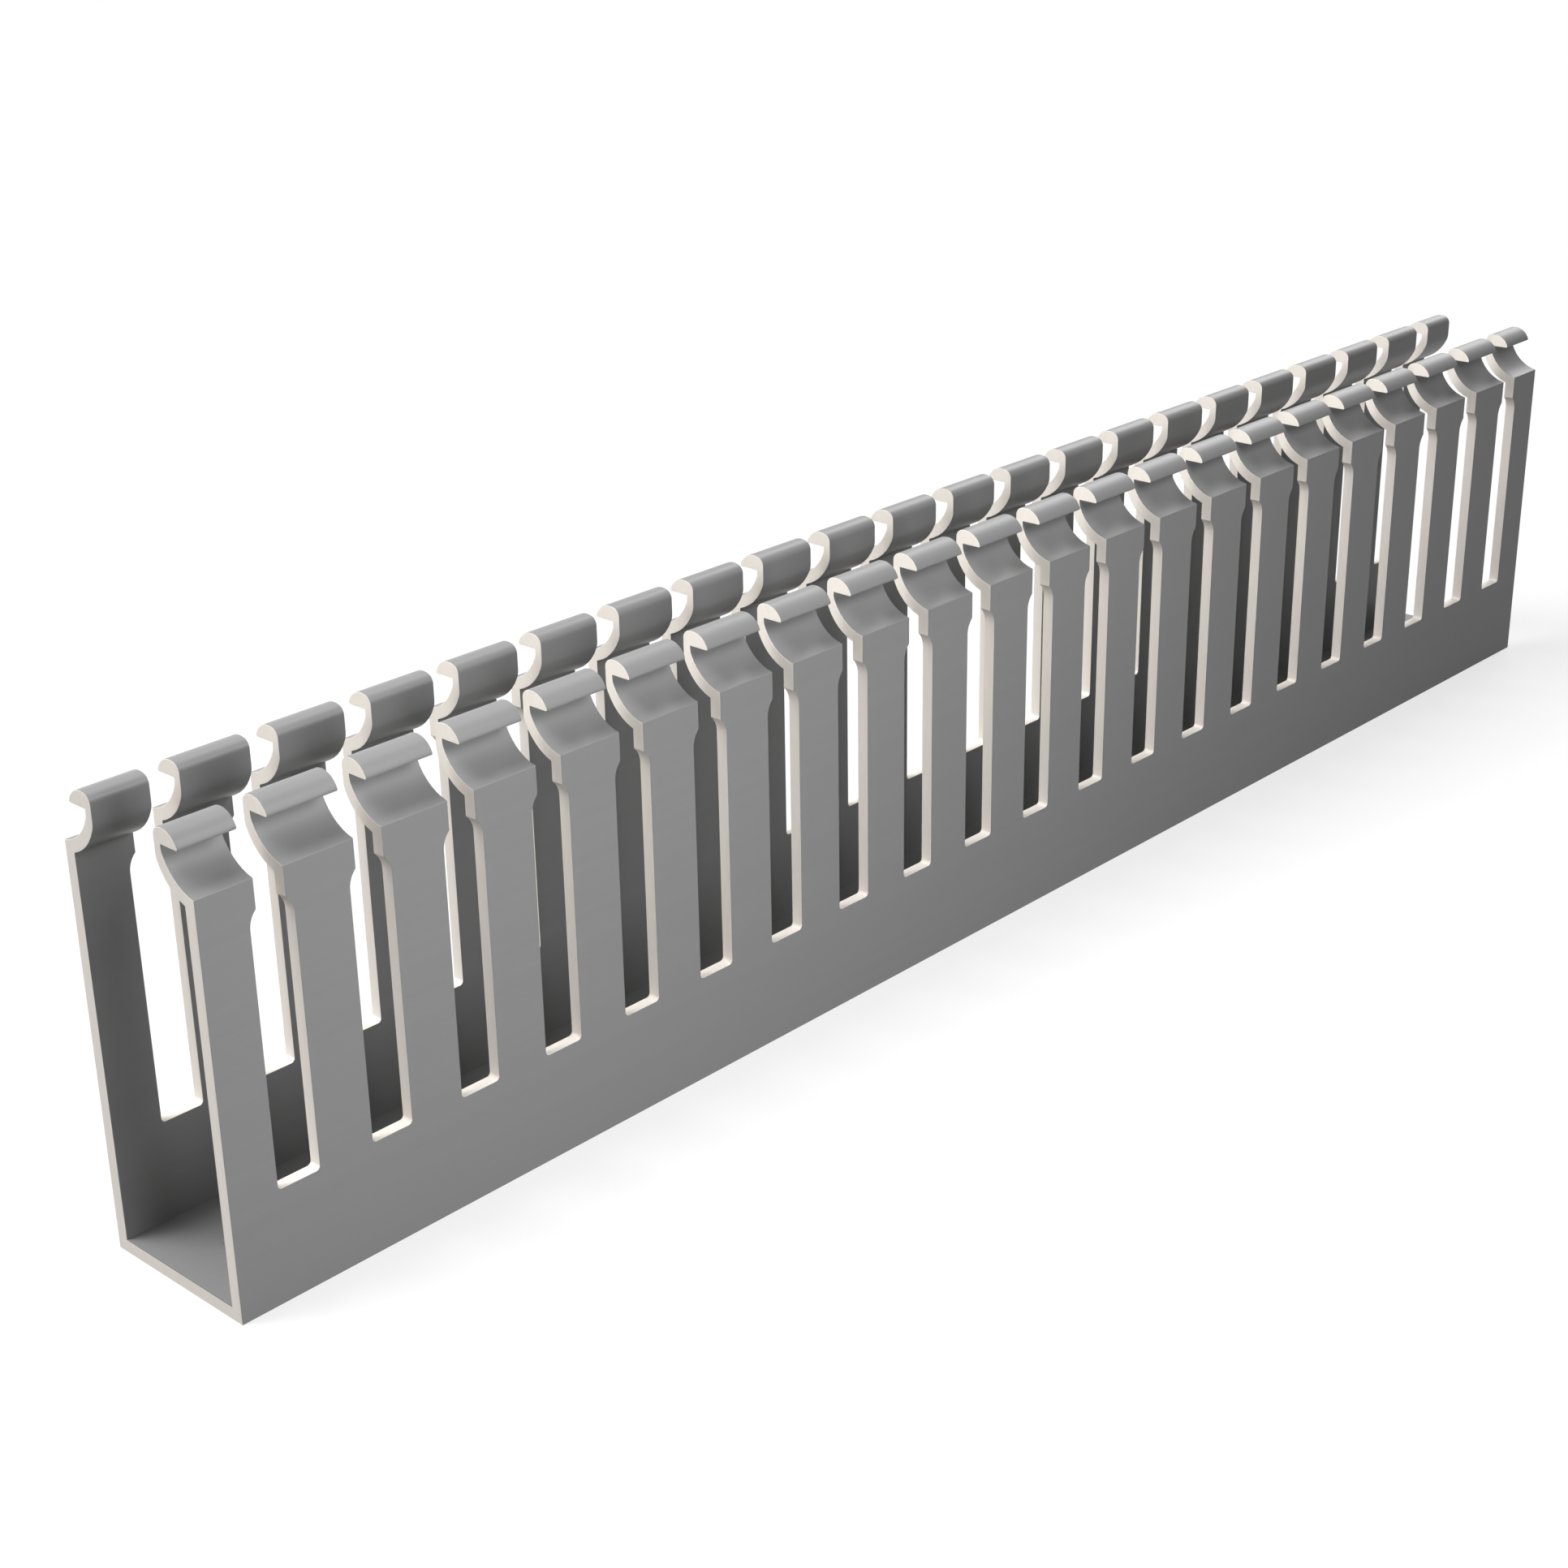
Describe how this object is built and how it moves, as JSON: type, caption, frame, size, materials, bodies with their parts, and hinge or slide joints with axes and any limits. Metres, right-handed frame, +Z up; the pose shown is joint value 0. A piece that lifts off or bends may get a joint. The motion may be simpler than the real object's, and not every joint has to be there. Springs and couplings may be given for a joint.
{
  "type": "slotted wire duct",
  "caption": "Straight open-topped wiring duct: a U-shaped plastic channel whose walls are cut into fingers by wire slots, with hooked tops for a press-on cover.",
  "frame": {"origin": "middle of the underside, halfway along the duct", "axes": "+X along the duct, +Y across it, +Z up out of the open top"},
  "size_m": [0.2676, 0.0222, 0.0555],
  "materials": {
    "grey_plastic": "satin"
  },
  "bodies": {
    "root": {"duct_base": "grey_plastic"}
  },
  "joints": []
}
